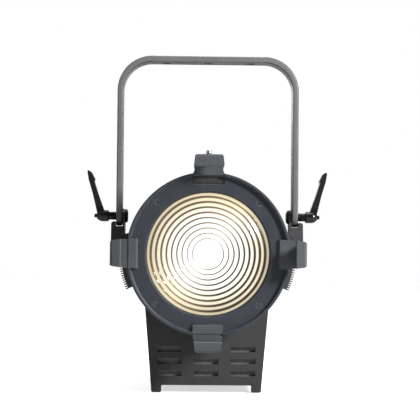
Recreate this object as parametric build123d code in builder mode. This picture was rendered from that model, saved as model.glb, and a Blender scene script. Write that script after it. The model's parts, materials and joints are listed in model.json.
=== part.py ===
"""Fresnel spotlight with a tilting yoke, motor-driven zoom and front accessory clips.

X points to the right, the lens faces -Y and Z points up. The lamp stands on four feet at
z = 0, and the origin is the bottom centre of its bounding box. All sizes are in millimetres.
"""
from build123d import *
from math import cos, radians, sin
import os

os.makedirs("parts", exist_ok=True)

# Driving dimensions
DEPTH = 300                      # clip lips to rear sockets
AXIS_Z = 175                     # height of the lens axis above the feet
FRONT_Y = -DEPTH / 2             # front of the accessory clips
REAR_Y = DEPTH / 2               # rear of the sockets

# Front ring and lens
RIM_Y = FRONT_Y + 22             # front of the raised rim
FACE_Y = RIM_Y + 5               # flat annulus of the ring
RING_BACK_Y = RIM_Y + 16
SKIRT_BACK_Y = RING_BACK_Y + 8
RIM_R = 100.6
LENS_CLEAR_R = 75
SCREW_CIRCLE_R = 88.5
NOTCH_FLOOR_Y = RIM_Y + 7
LENS_FRONT_Y = RIM_Y + 11        # front of the lens flange
LENS_BACK_Y = LENS_FRONT_Y + 4
LENS_R = 80
LENS_CORE_R = 19.2               # smooth centre of the lens
STEP_PITCH = 6.4                 # width of one lens step
STEP_COUNT = 9

# Accessory clips
CLIP_W = 36.4
CLIP_END_R = 119

# Barrel and lower housing
BARREL_R = 97
BARREL_WALL = 3
BARREL_FRONT_Y = RING_BACK_Y + 1.5
PANEL_FRONT_Y = RIM_Y + 60       # lower front panel
REAR_PANEL_Y = REAR_Y - 12       # outer face of the rear panel
SHEET = 2
FOOT_HALF_W = 69.3               # half width of the housing at the floor
HOUSING_SLOPE = 0.0848           # widening of the housing with height, per side
HOUSING_FLOOR_Z = 9
TAB_W = 12.6

# Yoke and its pivots
YOKE_OUT_X = 117.5
YOKE_THICK = 8
YOKE_IN_X = YOKE_OUT_X - YOKE_THICK
YOKE_W = 26
YOKE_TOP_Z = AXIS_Z + 256
YOKE_CORNER_R = 45
YOKE_HOLE_R = 5.5
YOKE_HOLE_PITCH = 55
PIVOT_Y = RIM_Y + 95
PIVOT_Z = AXIS_Z + 48.5
BOLT_R = 4
EAR_OUT_X = YOKE_IN_X - 0.8
EAR_IN_X = EAR_OUT_X - 2.5
CHEEK_IN_X = YOKE_OUT_X + 0.8
CHEEK_OUT_X = 123.5

# Zoom drive, all inside the barrel
CARRIAGE_Y = 0                   # front of the carriage plate at mid travel
CARRIAGE_THICK = 4
FRONT_BULKHEAD_Y = -88
REAR_BULKHEAD_Y = 97
ROD_R = 3
ROD_X = 70
SCREW_Z = AXIS_Z - 70
SCREW_R = 3

LENS_AXIS = Axis((0, 0, AXIS_Z), (0, 1, 0))


def save(part, name):
    """Label a finished piece and write it as its own STEP file."""
    part.label = name
    export_step(part, f"parts/{name}.step")


def radial_plane(angle):
    """Sketch plane through the lens axis: local x is the radius, local y is depth."""
    c = cos(radians(angle))
    s = sin(radians(angle))
    return Plane(origin=(0, 0, AXIS_Z), x_dir=(c, 0, s), z_dir=(-s, 0, c))


def facing(y, z=AXIS_Z, angle=0):
    """Sketch plane that faces the front at depth y; extrude goes towards the front."""
    direction = (cos(radians(angle)), 0, sin(radians(angle)))
    return Plane(origin=(0, y, z), x_dir=direction, z_dir=(0, -1, 0))


def side_plane(x):
    """Sketch plane that faces +X; local x is depth, local y is height."""
    return Plane(origin=(x, 0, 0), x_dir=(0, 1, 0), z_dir=(1, 0, 0))


def half_width(z):
    """Outer half width of the lower housing at height z."""
    return FOOT_HALF_W + HOUSING_SLOPE * z


def ring_part(profile):
    """Turn a closed (radius, depth) outline about the lens axis."""
    with BuildPart() as turned:
        with BuildSketch(radial_plane(90)):
            with BuildLine():
                Polyline(*profile, close=True)
            make_face()
        revolve(axis=LENS_AXIS)
    return turned.part


# Front ring: flat annulus inside a raised rim, with four clip notches
RIM_IN_R = 97
WALL_FOOT_R = 1.6                # radius where the annulus meets the rim's wall
NOTCH_W = CLIP_W + 0.6
CLIP_SCREWS = ((91.5, -10), (91.5, 10))
LATCH_FLARE_W = 38.4
with BuildPart() as front_ring:
    with BuildSketch(radial_plane(90)):
        with BuildLine():
            outline = Polyline((RIM_IN_R - WALL_FOOT_R, FACE_Y), (LENS_CLEAR_R + 2.5, FACE_Y),
                               (LENS_CLEAR_R, FACE_Y + 3), (LENS_CLEAR_R, LENS_FRONT_Y - 1),
                               (LENS_R + 2, LENS_FRONT_Y - 1), (LENS_R + 2, RING_BACK_Y),
                               (BARREL_R + 0.3, RING_BACK_Y), (BARREL_R + 0.3, SKIRT_BACK_Y),
                               (RIM_R, SKIRT_BACK_Y), (RIM_R, RIM_Y + 0.8),
                               (RIM_R - 0.8, RIM_Y), (RIM_IN_R + 0.8, RIM_Y),
                               (RIM_IN_R, RIM_Y + 0.8), (RIM_IN_R, FACE_Y - WALL_FOOT_R))
            bend = WALL_FOOT_R * (1 - cos(radians(45)))
            ThreePointArc(outline @ 1, (RIM_IN_R - bend, FACE_Y - bend), outline @ 0)
        make_face()
    revolve(axis=LENS_AXIS)
    for angle in (0, 180, 270):
        with BuildSketch(facing(NOTCH_FLOOR_Y, angle=angle)):
            with Locations((95.5, 0)):
                Rectangle(20, NOTCH_W)
        extrude(amount=12, mode=Mode.SUBTRACT)
    with BuildSketch(facing(NOTCH_FLOOR_Y, angle=90)):
        with Locations((95.5, 0)):
            Rectangle(20, LATCH_FLARE_W + 0.8)
    extrude(amount=12, mode=Mode.SUBTRACT)
    with BuildSketch(facing(SKIRT_BACK_Y, angle=90)):
        with Locations((99.7, 0)):
            Rectangle(2.6, 16)
    extrude(amount=SKIRT_BACK_Y - NOTCH_FLOOR_Y)
    with BuildSketch(Plane.XY.offset(AXIS_Z + 101)):
        with Locations((0, RIM_Y + 11.5)):
            Circle(2)
    extrude(amount=-12, mode=Mode.SUBTRACT)
    with Locations(facing(FACE_Y)):
        with PolarLocations(SCREW_CIRCLE_R, 4, start_angle=45):
            CounterSinkHole(radius=2, counter_sink_radius=4, depth=20)
    for angle in (0, 180, 270):
        with BuildSketch(facing(RING_BACK_Y, angle=angle)):
            with Locations(*CLIP_SCREWS):
                Circle(1.5)
        extrude(amount=14, mode=Mode.SUBTRACT)
        with BuildSketch(facing(RING_BACK_Y, angle=angle)):
            with Locations(*CLIP_SCREWS):
                Circle(2.9)
        extrude(amount=3, mode=Mode.SUBTRACT)
save(front_ring.part, "front_ring")

with BuildPart() as ring_screws:
    with BuildSketch(facing(BARREL_FRONT_Y + 3.5)):
        with PolarLocations(SCREW_CIRCLE_R, 4, start_angle=45):
            Circle(1.9)
    extrude(amount=BARREL_FRONT_Y + 3.5 - FACE_Y - 2)
    for angle in (45, 135, 225, 315):
        with BuildSketch(radial_plane(angle)):
            with Locations((SCREW_CIRCLE_R, FACE_Y + 0.2)):
                Polygon((0, 0), (3.7, 0), (1.9, 1.8), (1.9, 2.6), (0, 2.6), align=None)
        centre = radial_plane(angle).from_local_coords((SCREW_CIRCLE_R, 0, 0))
        revolve(axis=Axis(centre, (0, 1, 0)))
        with BuildSketch(Plane(origin=(centre.X, FACE_Y, centre.Z), z_dir=(0, -1, 0))):
            RegularPolygon(1.35, 6)
        extrude(amount=-1.4, mode=Mode.SUBTRACT)
save(ring_screws.part, "ring_screws")

# Stepped lens: a domed core, then steps whose risers grow towards the edge
CORE_RISE = 2.6
DOME_R = (LENS_CORE_R ** 2 + CORE_RISE ** 2) / (2 * CORE_RISE)
dome_half_rise = CORE_RISE - DOME_R + (DOME_R ** 2 - LENS_CORE_R ** 2 / 4) ** 0.5
lens_profile = [(LENS_R, LENS_BACK_Y), (LENS_R, LENS_FRONT_Y)]
for step in range(STEP_COUNT - 1, -1, -1):
    inner_r = LENS_CORE_R + STEP_PITCH * step
    outer_r = min(inner_r + STEP_PITCH, LENS_CLEAR_R - 0.6)
    rise = 1.3 + 0.26 * step
    lens_profile += [(outer_r, LENS_FRONT_Y), (inner_r + 0.5, LENS_FRONT_Y - rise),
                     (inner_r, LENS_FRONT_Y - rise + 0.2)]
with BuildPart() as fresnel_lens:
    with BuildSketch(radial_plane(90)):
        with BuildLine():
            rim = Polyline(*lens_profile, (LENS_CORE_R, LENS_FRONT_Y))
            dome = ThreePointArc(rim @ 1, (LENS_CORE_R / 2, LENS_FRONT_Y - dome_half_rise),
                                 (0, LENS_FRONT_Y - CORE_RISE))
            Polyline(dome @ 1, (0, LENS_BACK_Y), rim @ 0)
        make_face()
    revolve(axis=LENS_AXIS)
save(fresnel_lens.part, "fresnel_lens")

save(ring_part([(LENS_CLEAR_R + 1.5, LENS_FRONT_Y - 1), (LENS_CLEAR_R + 1.5, LENS_FRONT_Y),
                (LENS_R, LENS_FRONT_Y), (LENS_R, LENS_FRONT_Y - 1)]), "lens_gasket")

with BuildPart() as lens_retainer:
    add(ring_part([(LENS_CLEAR_R, LENS_BACK_Y), (LENS_CLEAR_R, BARREL_FRONT_Y),
                   (93.5, BARREL_FRONT_Y), (93.5, RING_BACK_Y), (LENS_R + 1.5, RING_BACK_Y),
                   (LENS_R + 1.5, LENS_BACK_Y)]))
    with BuildSketch(facing(BARREL_FRONT_Y)):
        with PolarLocations(SCREW_CIRCLE_R, 4, start_angle=45):
            Circle(2)
    extrude(amount=10, mode=Mode.SUBTRACT)
save(lens_retainer.part, "lens_retainer")

# Accessory clips: a foot in the ring's notch, an end wall and a front lip over the slot
LIP_IN_R = 105.5
LIP_THICK = 4
FOOT_FRONT_Y = RIM_Y + 1
CLIP_CORNERS = (0.6, 0.6, 4, 3.5, 3.5, 4)
CLIP_TAPER = 3                   # narrowing from the ring to the clip's end, per side
LATCH_CORNERS = (0.6, 1, 2, 6, 3, 60, 3, 6, 2, 1, 0.6)


def clip_body(angle, foot_r, end_r, outline, corner_r, floor_y):
    """A clip's section swept across its width, then trimmed to its front outline."""
    with BuildPart() as clip:
        with BuildSketch(radial_plane(angle)):
            with BuildLine():
                Polyline((foot_r, FOOT_FRONT_Y + 3), (foot_r + 0.8, FOOT_FRONT_Y + 2),
                         (foot_r + 2, FOOT_FRONT_Y), (97.4, FOOT_FRONT_Y),
                         (98, FOOT_FRONT_Y + 1.2), (end_r - 3.5, FOOT_FRONT_Y + 1.2),
                         (end_r - 3.5, FRONT_Y + LIP_THICK + 0.6),
                         (LIP_IN_R + 0.6, FRONT_Y + LIP_THICK), (LIP_IN_R, FRONT_Y + 3.4),
                         (LIP_IN_R, FRONT_Y + 1.2), (LIP_IN_R + 1.2, FRONT_Y),
                         (end_r - 3, FRONT_Y + 0.9), (end_r - 0.8, FRONT_Y + 2.2),
                         (end_r, FRONT_Y + 4.6), (end_r, floor_y), (foot_r, floor_y), close=True)
            make_face()
        extrude(amount=30, both=True)
        with BuildSketch(facing(floor_y + 1, angle=angle)):
            with BuildLine():
                FilletPolyline(*outline, radius=corner_r, close=True)
            make_face()
        extrude(amount=60, mode=Mode.INTERSECT)
    return clip.part


def clip_outline(foot_r, end_r, half):
    """Front outline of a clip in (radius, width), tapering to its end."""
    end_half = half - CLIP_TAPER
    return [(foot_r, half), (foot_r, -half), (RIM_IN_R, -half), (end_r, -end_half),
            (end_r, end_half), (RIM_IN_R, half)]


def latch_outline(foot_r, end_r, half):
    """Front outline of the latch: flared foot, narrow neck and a bulging head."""
    head_r = LIP_IN_R + 3
    lower = [(foot_r, -half - 1.6), (LIP_IN_R - 6.5, -half - 1.6), (LIP_IN_R - 2.5, -half),
             (head_r, -half - 0.9), (end_r - 0.4, -half + 0.6)]
    upper = [(radius, -width) for radius, width in reversed(lower)]
    return lower + [(end_r, 0)] + upper


for name, angle in (("accessory_clip_right", 0), ("accessory_clip_left", 180),
                    ("accessory_clip_bottom", 270)):
    with BuildPart() as accessory_clip:
        add(clip_body(angle, 86, CLIP_END_R, clip_outline(86, CLIP_END_R, CLIP_W / 2),
                      CLIP_CORNERS, NOTCH_FLOOR_Y))
        with BuildSketch(facing(NOTCH_FLOOR_Y, angle=angle)):
            with Locations(*CLIP_SCREWS):
                Circle(1.25)
        extrude(amount=4, mode=Mode.SUBTRACT)
    save(accessory_clip.part, name)

with BuildPart() as clip_screws:
    for angle in (0, 180, 270):
        with BuildSketch(facing(RING_BACK_Y - 1, angle=angle)):
            with Locations(*CLIP_SCREWS):
                Circle(1.2)
        extrude(amount=11.5)
        with BuildSketch(facing(RING_BACK_Y - 0.6, angle=angle)):
            with Locations(*CLIP_SCREWS):
                Circle(2.6)
                RegularPolygon(1.3, 6, mode=Mode.SUBTRACT)
        extrude(amount=2.4)
save(clip_screws.part, "clip_screws")

# Top latch: the fourth clip slides up on a shoulder screw against a spring
LATCH_SEAT_Z = AXIS_Z + 101
LATCH_SCREW_Y = RIM_Y + 11.5
LATCH_END_R = 121
SPRING_SEAT_Z = LATCH_SEAT_Z + 6
SPRING_WIRE_R = 0.4
SPRING_R = 3.3
HEAD_UNDER_Z = AXIS_Z + 124.6
with BuildPart() as top_latch:
    add(clip_body(90, 95, LATCH_END_R, latch_outline(95, LATCH_END_R, 17.6),
                  LATCH_CORNERS, NOTCH_FLOOR_Y - 0.3))
    with BuildSketch(Plane.XY.offset(LATCH_SEAT_Z)):
        with Locations((0, (NOTCH_FLOOR_Y - 1 + RIM_Y + 20) / 2)):
            RectangleRounded(16, RIM_Y + 20 - NOTCH_FLOOR_Y + 1, 1.5)
    extrude(amount=AXIS_Z + LATCH_END_R - 1 - LATCH_SEAT_Z)
    with BuildSketch(Plane.XY.offset(LATCH_SEAT_Z)):
        with Locations((0, LATCH_SCREW_Y)):
            Circle(2.45)
    extrude(amount=30, mode=Mode.SUBTRACT)
    with BuildSketch(Plane.XY.offset(SPRING_SEAT_Z)):
        with Locations((0, LATCH_SCREW_Y)):
            Circle(4.3)
    extrude(amount=30, mode=Mode.SUBTRACT)
save(top_latch.part, "top_latch")

with BuildPart() as latch_screw:
    with BuildSketch(Plane.XY.offset(LATCH_SEAT_Z - 11)):
        with Locations((0, LATCH_SCREW_Y)):
            Circle(1.95)
    extrude(amount=11.5)
    with BuildSketch(Plane.XY.offset(LATCH_SEAT_Z + 0.2)):
        with Locations((0, LATCH_SCREW_Y)):
            Circle(2.4)
    extrude(amount=HEAD_UNDER_Z - LATCH_SEAT_Z)
    with BuildSketch(Plane.XY.offset(HEAD_UNDER_Z)):
        with Locations((0, LATCH_SCREW_Y)):
            Circle(3.8)
    extrude(amount=3.2)
    fillet(edges().filter_by(GeomType.CIRCLE).group_by(Axis.Z)[-1], 0.8)
    with BuildSketch(Plane.XY.offset(HEAD_UNDER_Z + 3.2)):
        with Locations((0, LATCH_SCREW_Y)):
            Rectangle(9, 1)
    extrude(amount=-1.2, mode=Mode.SUBTRACT)
save(latch_screw.part, "latch_screw")

SPRING_LENGTH = HEAD_UNDER_Z - SPRING_SEAT_Z - 2 * SPRING_WIRE_R - 0.1
with BuildPart() as latch_spring:
    with BuildLine() as coil:
        Helix(pitch=SPRING_LENGTH / 7, height=SPRING_LENGTH, radius=SPRING_R,
              center=(0, LATCH_SCREW_Y, SPRING_SEAT_Z + SPRING_WIRE_R + 0.05))
    with BuildSketch(Plane(origin=coil.line @ 0, z_dir=coil.line % 0)):
        Circle(SPRING_WIRE_R)
    sweep(is_frenet=True)
save(latch_spring.part, "latch_spring")

# Barrel: tube with an inner front flange, two grooves and slots under the side covers
GROOVE_DEPTH = 0.9
GROOVE_W = 2.4
with BuildPart() as barrel:
    with BuildSketch(radial_plane(90)):
        with BuildLine():
            Polyline((84, BARREL_FRONT_Y), (84, BARREL_FRONT_Y + 4),
                     (BARREL_R - BARREL_WALL, BARREL_FRONT_Y + 4),
                     (BARREL_R - BARREL_WALL, REAR_PANEL_Y - 3),
                     (BARREL_R, REAR_PANEL_Y - 3), (BARREL_R, BARREL_FRONT_Y), close=True)
        make_face()
    revolve(axis=LENS_AXIS)
    for groove_y in (BARREL_FRONT_Y + 30, REAR_PANEL_Y - 10):
        with BuildSketch(radial_plane(90)):
            with Locations((BARREL_R, groove_y)):
                Rectangle(2 * GROOVE_DEPTH, GROOVE_W)
        revolve(axis=LENS_AXIS, mode=Mode.SUBTRACT)
    with BuildSketch(facing(BARREL_FRONT_Y + 5)):
        with PolarLocations(SCREW_CIRCLE_R, 4, start_angle=45):
            Circle(1.95)
    extrude(amount=10, mode=Mode.SUBTRACT)
    for row in range(8):
        with BuildSketch(side_plane(0)):
            with Locations((-70 + 24 * row, AXIS_Z - 30)):
                SlotOverall(24, 6, rotation=90)
        extrude(amount=120, both=True, mode=Mode.SUBTRACT)
save(barrel.part, "barrel")

# Tilt brackets: a flared block with a slot for the yoke leg between cheek and ear
BRACKET_Z = AXIS_Z - 15
BRACKET_ROOT_X = 86
SLOT_FLOOR_Z = PIVOT_Z - YOKE_W / 2 - 0.6
CHEEK_TOP_Z = AXIS_Z + 41
SHOULDER_Z = AXIS_Z + 24
EAR_R = 9
BRACKET_HALF_TOP = 15
BRACKET_HALF_FOOT = 42


def tilt_bracket(side):
    """Bracket on one side of the head; side is +1 for the right and -1 for the left."""
    with BuildPart() as bracket:
        with BuildSketch(side_plane(side * BRACKET_ROOT_X)):
            with BuildLine():
                foot = Line((PIVOT_Y - BRACKET_HALF_FOOT, BRACKET_Z),
                            (PIVOT_Y + BRACKET_HALF_FOOT, BRACKET_Z))
                rear = ThreePointArc(foot @ 1, (PIVOT_Y + 22, AXIS_Z + 10),
                                     (PIVOT_Y + BRACKET_HALF_TOP, CHEEK_TOP_Z))
                top = Line(rear @ 1, (PIVOT_Y - BRACKET_HALF_TOP, CHEEK_TOP_Z))
                ThreePointArc(top @ 1, (PIVOT_Y - 22, AXIS_Z + 10), foot @ 0)
            make_face()
        extrude(amount=side * (CHEEK_OUT_X - BRACKET_ROOT_X))
        outer = edges().filter_by(Axis.Y).sort_by(Axis.Z)[-2:].sort_by(Axis.X)
        fillet(outer[-1 if side > 0 else 0], 3.5)
        with BuildSketch(side_plane(side * YOKE_IN_X)):
            with Locations((PIVOT_Y, SLOT_FLOOR_Z + 30)):
                Rectangle(120, 60)
        extrude(amount=side * (CHEEK_IN_X - YOKE_IN_X), mode=Mode.SUBTRACT)
        with BuildSketch(side_plane(side * EAR_IN_X)):
            with Locations((PIVOT_Y, SHOULDER_Z + 30)):
                Rectangle(120, 60)
        extrude(amount=-side * 30, mode=Mode.SUBTRACT)
        with BuildSketch(side_plane(side * EAR_OUT_X)):
            with Locations((PIVOT_Y, SLOT_FLOOR_Z + 30)):
                Rectangle(120, 60)
        extrude(amount=side * 1, mode=Mode.SUBTRACT)
        with BuildSketch(side_plane(side * EAR_IN_X)):
            with Locations((PIVOT_Y, PIVOT_Z)):
                Circle(EAR_R)
            with Locations((PIVOT_Y, PIVOT_Z - 10)):
                Rectangle(2 * EAR_R, 20)
        extrude(amount=side * (EAR_OUT_X - EAR_IN_X))
        with BuildSketch(side_plane(side * 90)):
            with Locations((PIVOT_Y, PIVOT_Z)):
                Rectangle(2 * BOLT_R, 2 * BOLT_R)
        extrude(amount=side * 22, mode=Mode.SUBTRACT)
        with BuildSketch(Plane.XZ.offset(-PIVOT_Y - 60)):
            with Locations((0, AXIS_Z)):
                Circle(BARREL_R + 0.1)
        extrude(amount=120, mode=Mode.SUBTRACT)
        with BuildSketch(Plane.XY.offset(SHOULDER_Z)):
            with Locations((side * 101, PIVOT_Y - 9), (side * 101, PIVOT_Y + 9)):
                Circle(1.6)
        extrude(amount=-12, mode=Mode.SUBTRACT)
    return bracket.part


save(tilt_bracket(1), "tilt_bracket_right")
save(tilt_bracket(-1), "tilt_bracket_left")

with BuildPart() as bracket_screws:
    for side in (-1, 1):
        for offset in (-9, 9):
            with BuildSketch(Plane.XY.offset(SHOULDER_Z - 11)):
                with Locations((side * 101, PIVOT_Y + offset)):
                    Circle(1.5)
            extrude(amount=11)
            with BuildSketch(Plane.XY.offset(SHOULDER_Z)):
                with Locations((side * 101, PIVOT_Y + offset)):
                    Circle(3)
            extrude(amount=2.1)
    fillet(edges().filter_by(GeomType.CIRCLE).group_by(Axis.Z)[-1], 1.7)
save(bracket_screws.part, "bracket_screws")

# Pivot bolts: domed head inside the ear, square neck in it, round shank through the leg
BOLT_END_X = 129
BOLT_HEAD_R = 9
BOLT_HEAD = 3.8
with BuildPart() as pivot_bolts:
    for side in (-1, 1):
        with BuildSketch(side_plane(side * EAR_IN_X)):
            with Locations((PIVOT_Y, PIVOT_Z)):
                Rectangle(2 * BOLT_R - 0.1, 2 * BOLT_R - 0.1)
        extrude(amount=side * (EAR_OUT_X - EAR_IN_X))
        with BuildSketch(side_plane(side * EAR_OUT_X)):
            with Locations((PIVOT_Y, PIVOT_Z)):
                Circle(BOLT_R)
        extrude(amount=side * (YOKE_OUT_X - EAR_OUT_X))
        with BuildSketch(side_plane(side * YOKE_OUT_X)):
            with Locations((PIVOT_Y, PIVOT_Z)):
                Circle(3)
        extrude(amount=side * (BOLT_END_X - YOKE_OUT_X))
        with BuildSketch(side_plane(side * EAR_IN_X)):
            with Locations((PIVOT_Y, PIVOT_Z)):
                Circle(BOLT_HEAD_R)
        extrude(amount=-side * BOLT_HEAD)
    heads = edges().filter_by(GeomType.CIRCLE)
    heads = heads.filter_by(lambda edge: edge.radius > BOLT_HEAD_R - 0.1)
    fillet(heads.filter_by(lambda edge: abs(edge.center().X) < EAR_IN_X - 1), BOLT_HEAD - 0.4)
save(pivot_bolts.part, "pivot_bolts")

with BuildPart() as friction_washers:
    for side in (-1, 1):
        with BuildSketch(side_plane(side * EAR_OUT_X)):
            with Locations((PIVOT_Y, PIVOT_Z)):
                Circle(10.5)
                Circle(BOLT_R + 0.15, mode=Mode.SUBTRACT)
        extrude(amount=side * (YOKE_IN_X - EAR_OUT_X - 0.02))
save(friction_washers.part, "friction_washers")

# Yoke: flat bar bent into a U, with round ends and three holes in its top
with BuildPart() as yoke:
    with BuildSketch(facing(PIVOT_Y + YOKE_W / 2, z=0)):
        with BuildLine():
            FilletPolyline((-YOKE_OUT_X, PIVOT_Z - 13), (-YOKE_OUT_X, YOKE_TOP_Z),
                           (YOKE_OUT_X, YOKE_TOP_Z), (YOKE_OUT_X, PIVOT_Z - 13),
                           radius=YOKE_CORNER_R)
            Line((YOKE_OUT_X, PIVOT_Z - 13), (YOKE_IN_X, PIVOT_Z - 13))
            FilletPolyline((YOKE_IN_X, PIVOT_Z - 13), (YOKE_IN_X, YOKE_TOP_Z - YOKE_THICK),
                           (-YOKE_IN_X, YOKE_TOP_Z - YOKE_THICK), (-YOKE_IN_X, PIVOT_Z - 13),
                           radius=YOKE_CORNER_R - YOKE_THICK)
            Line((-YOKE_IN_X, PIVOT_Z - 13), (-YOKE_OUT_X, PIVOT_Z - 13))
        make_face()
    extrude(amount=YOKE_W)
    with BuildSketch(side_plane(-YOKE_OUT_X - 1)):
        with Locations((PIVOT_Y, (PIVOT_Z - 12 + YOKE_TOP_Z) / 2)):
            SlotOverall(YOKE_TOP_Z - PIVOT_Z + 14, YOKE_W, rotation=90)
        with Locations((PIVOT_Y, YOKE_TOP_Z - 15)):
            Rectangle(YOKE_W, 30)
    extrude(amount=2 * YOKE_OUT_X + 2, mode=Mode.INTERSECT)
    chamfer(edges().filter_by(GeomType.CIRCLE).filter_by(lambda e: e.radius > 30), 1.1)
    with BuildSketch(Plane.XY.offset(YOKE_TOP_Z)):
        with Locations((-YOKE_HOLE_PITCH, PIVOT_Y), (0, PIVOT_Y), (YOKE_HOLE_PITCH, PIVOT_Y)):
            Circle(YOKE_HOLE_R)
    extrude(amount=-YOKE_THICK, mode=Mode.SUBTRACT)
    with BuildSketch(side_plane(-YOKE_OUT_X)):
        with Locations((PIVOT_Y, PIVOT_Z)):
            Circle(BOLT_R + 0.05)
    extrude(amount=2 * YOKE_OUT_X, mode=Mode.SUBTRACT)
save(yoke.part, "yoke")

# Clamp levers: a threaded insert on the bolt, a lever on its splines, an end screw
COLLAR_R = 5.2
COLLAR_IN_X = YOKE_OUT_X + 0.1
HUB_IN_X = 127.4
HUB_OUT_X = 142.8
HUB_R = 7.4
SPLINE_R = 4.5
SPLINE_END_X = 136
ARM_HALF_DEPTH = 7
ARM_TOP = 60
BOLT_THREAD_END_X = 129.6
for name, side in (("right", 1), ("left", -1)):
    with BuildPart() as lever_insert:
        with BuildSketch(side_plane(side * COLLAR_IN_X)):
            with Locations((PIVOT_Y, PIVOT_Z)):
                Circle(COLLAR_R)
        extrude(amount=side * (HUB_IN_X - COLLAR_IN_X))
        with BuildSketch(side_plane(side * HUB_IN_X)):
            with Locations((PIVOT_Y, PIVOT_Z)):
                RegularPolygon(SPLINE_R, 12)
        extrude(amount=side * (SPLINE_END_X - HUB_IN_X))
        with BuildSketch(side_plane(side * COLLAR_IN_X)):
            with Locations((PIVOT_Y, PIVOT_Z)):
                Circle(3.05)
        extrude(amount=side * (BOLT_THREAD_END_X - COLLAR_IN_X), mode=Mode.SUBTRACT)
        with BuildSketch(side_plane(side * SPLINE_END_X)):
            with Locations((PIVOT_Y, PIVOT_Z)):
                Circle(1.95)
        extrude(amount=-side * 5, mode=Mode.SUBTRACT)
    save(lever_insert.part, f"lever_insert_{name}")

    with BuildPart() as lever_screw:
        with BuildSketch(side_plane(side * (SPLINE_END_X - 5))):
            with Locations((PIVOT_Y, PIVOT_Z)):
                Circle(1.9)
        extrude(amount=side * 12)
        with BuildSketch(side_plane(side * (HUB_OUT_X - 0.4))):
            with Locations((PIVOT_Y, PIVOT_Z)):
                Circle(2.5)
        extrude(amount=side * 3.6)
        with BuildSketch(side_plane(side * (HUB_OUT_X + 3.2))):
            with Locations((PIVOT_Y, PIVOT_Z)):
                RegularPolygon(1.4, 6)
        extrude(amount=-side * 1.8, mode=Mode.SUBTRACT)
    save(lever_screw.part, f"lever_screw_{name}")

    with BuildPart() as lever:
        with BuildSketch(facing(PIVOT_Y + ARM_HALF_DEPTH, z=PIVOT_Z)):
            with BuildLine():
                FilletPolyline((side * 131, 0), (side * 132.6, 5), (side * 141, 28),
                               (side * 146.2, 44.5), (side * 145.2, 46.8), (side * 149.5, 55.5),
                               (side * 154.4, 59.2), (side * 155.4, 57), (side * 153.6, 46),
                               (side * 148.2, 28), (side * 141.5, 0),
                               radius=(0, 2, 20, 0.6, 0.8, 4, 0.8, 1, 12, 20, 0), close=True)
            make_face()
        extrude(amount=2 * ARM_HALF_DEPTH)
        with BuildSketch(side_plane(0)):
            with BuildLine():
                FilletPolyline((PIVOT_Y - 5, PIVOT_Z), (PIVOT_Y - 4.6, PIVOT_Z + 12),
                               (PIVOT_Y - 6.8, PIVOT_Z + ARM_TOP),
                               (PIVOT_Y + 6.8, PIVOT_Z + ARM_TOP),
                               (PIVOT_Y + 4.6, PIVOT_Z + 12), (PIVOT_Y + 5, PIVOT_Z),
                               radius=(0, 8, 6, 6, 8, 0), close=True)
            make_face()
        extrude(amount=side * 200, mode=Mode.INTERSECT)
        with BuildSketch(facing(PIVOT_Y, z=PIVOT_Z)):
            with BuildLine():
                Polyline((side * HUB_IN_X, 0), (side * HUB_IN_X, HUB_R - 1),
                         (side * (HUB_IN_X + 1), HUB_R), (side * 136.8, HUB_R),
                         (side * 139.6, HUB_R - 1), (side * HUB_OUT_X, 4), (side * HUB_OUT_X, 0),
                         close=True)
            make_face()
        revolve(axis=Axis((0, PIVOT_Y, PIVOT_Z), (1, 0, 0)))
        with BuildSketch(side_plane(side * HUB_IN_X)):
            with Locations((PIVOT_Y, PIVOT_Z)):
                RegularPolygon(SPLINE_R + 0.1, 12)
        extrude(amount=side * 9.4, mode=Mode.SUBTRACT)
        with BuildSketch(side_plane(side * HUB_IN_X)):
            with Locations((PIVOT_Y, PIVOT_Z)):
                Circle(2.1)
        extrude(amount=side * 20, mode=Mode.SUBTRACT)
        with BuildSketch(side_plane(side * (HUB_OUT_X + 1))):
            with Locations((PIVOT_Y, PIVOT_Z)):
                Circle(3)
        extrude(amount=-side * 5.6, mode=Mode.SUBTRACT)
    save(lever.part, f"clamp_lever_{name}")

# Side covers: a curved shell over the barrel slots with ribs along its length
COVER_FRONT_Y = SKIRT_BACK_Y + 4
COVER_REAR_Y = 110
COVER_R = 107.5
RIB_R = 110.5
COVER_LOW = -24
COVER_HIGH = 13.5
RIB_COUNT = 26
for name, side in (("right", 1), ("left", -1)):
    low_angle = COVER_LOW if side > 0 else 180 - COVER_LOW
    with BuildPart() as side_cover:
        with BuildSketch(radial_plane(low_angle)):
            with BuildLine():
                Polyline((BARREL_R + 0.3, COVER_FRONT_Y), (COVER_R, COVER_FRONT_Y),
                         (COVER_R, COVER_REAR_Y), (BARREL_R + 0.3, COVER_REAR_Y),
                         (BARREL_R + 0.3, COVER_REAR_Y - 3), (COVER_R - 3, COVER_REAR_Y - 3),
                         (COVER_R - 3, COVER_FRONT_Y + 3), (BARREL_R + 0.3, COVER_FRONT_Y + 3),
                         close=True)
            make_face()
        revolve(axis=Axis((0, 0, AXIS_Z), (0, -side, 0)), revolution_arc=COVER_HIGH - COVER_LOW)
        start = COVER_LOW + 0.4 if side > 0 else 180 - COVER_HIGH + 0.4
        with BuildSketch(facing(COVER_REAR_Y)):
            with PolarLocations((COVER_R + RIB_R) / 2 - 0.4, RIB_COUNT, start_angle=start,
                                angular_range=COVER_HIGH - COVER_LOW - 0.8, endpoint=True):
                Rectangle(RIB_R - COVER_R + 0.8, 1.4)
        extrude(amount=COVER_REAR_Y - COVER_FRONT_Y)
        with BuildSketch(side_plane(0)):
            with Locations((PIVOT_Y, BRACKET_Z + 39)):
                Rectangle(2 * BRACKET_HALF_FOOT + 2, 80)
        extrude(amount=side * 130, mode=Mode.SUBTRACT)
    save(side_cover.part, f"side_cover_{name}")

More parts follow.
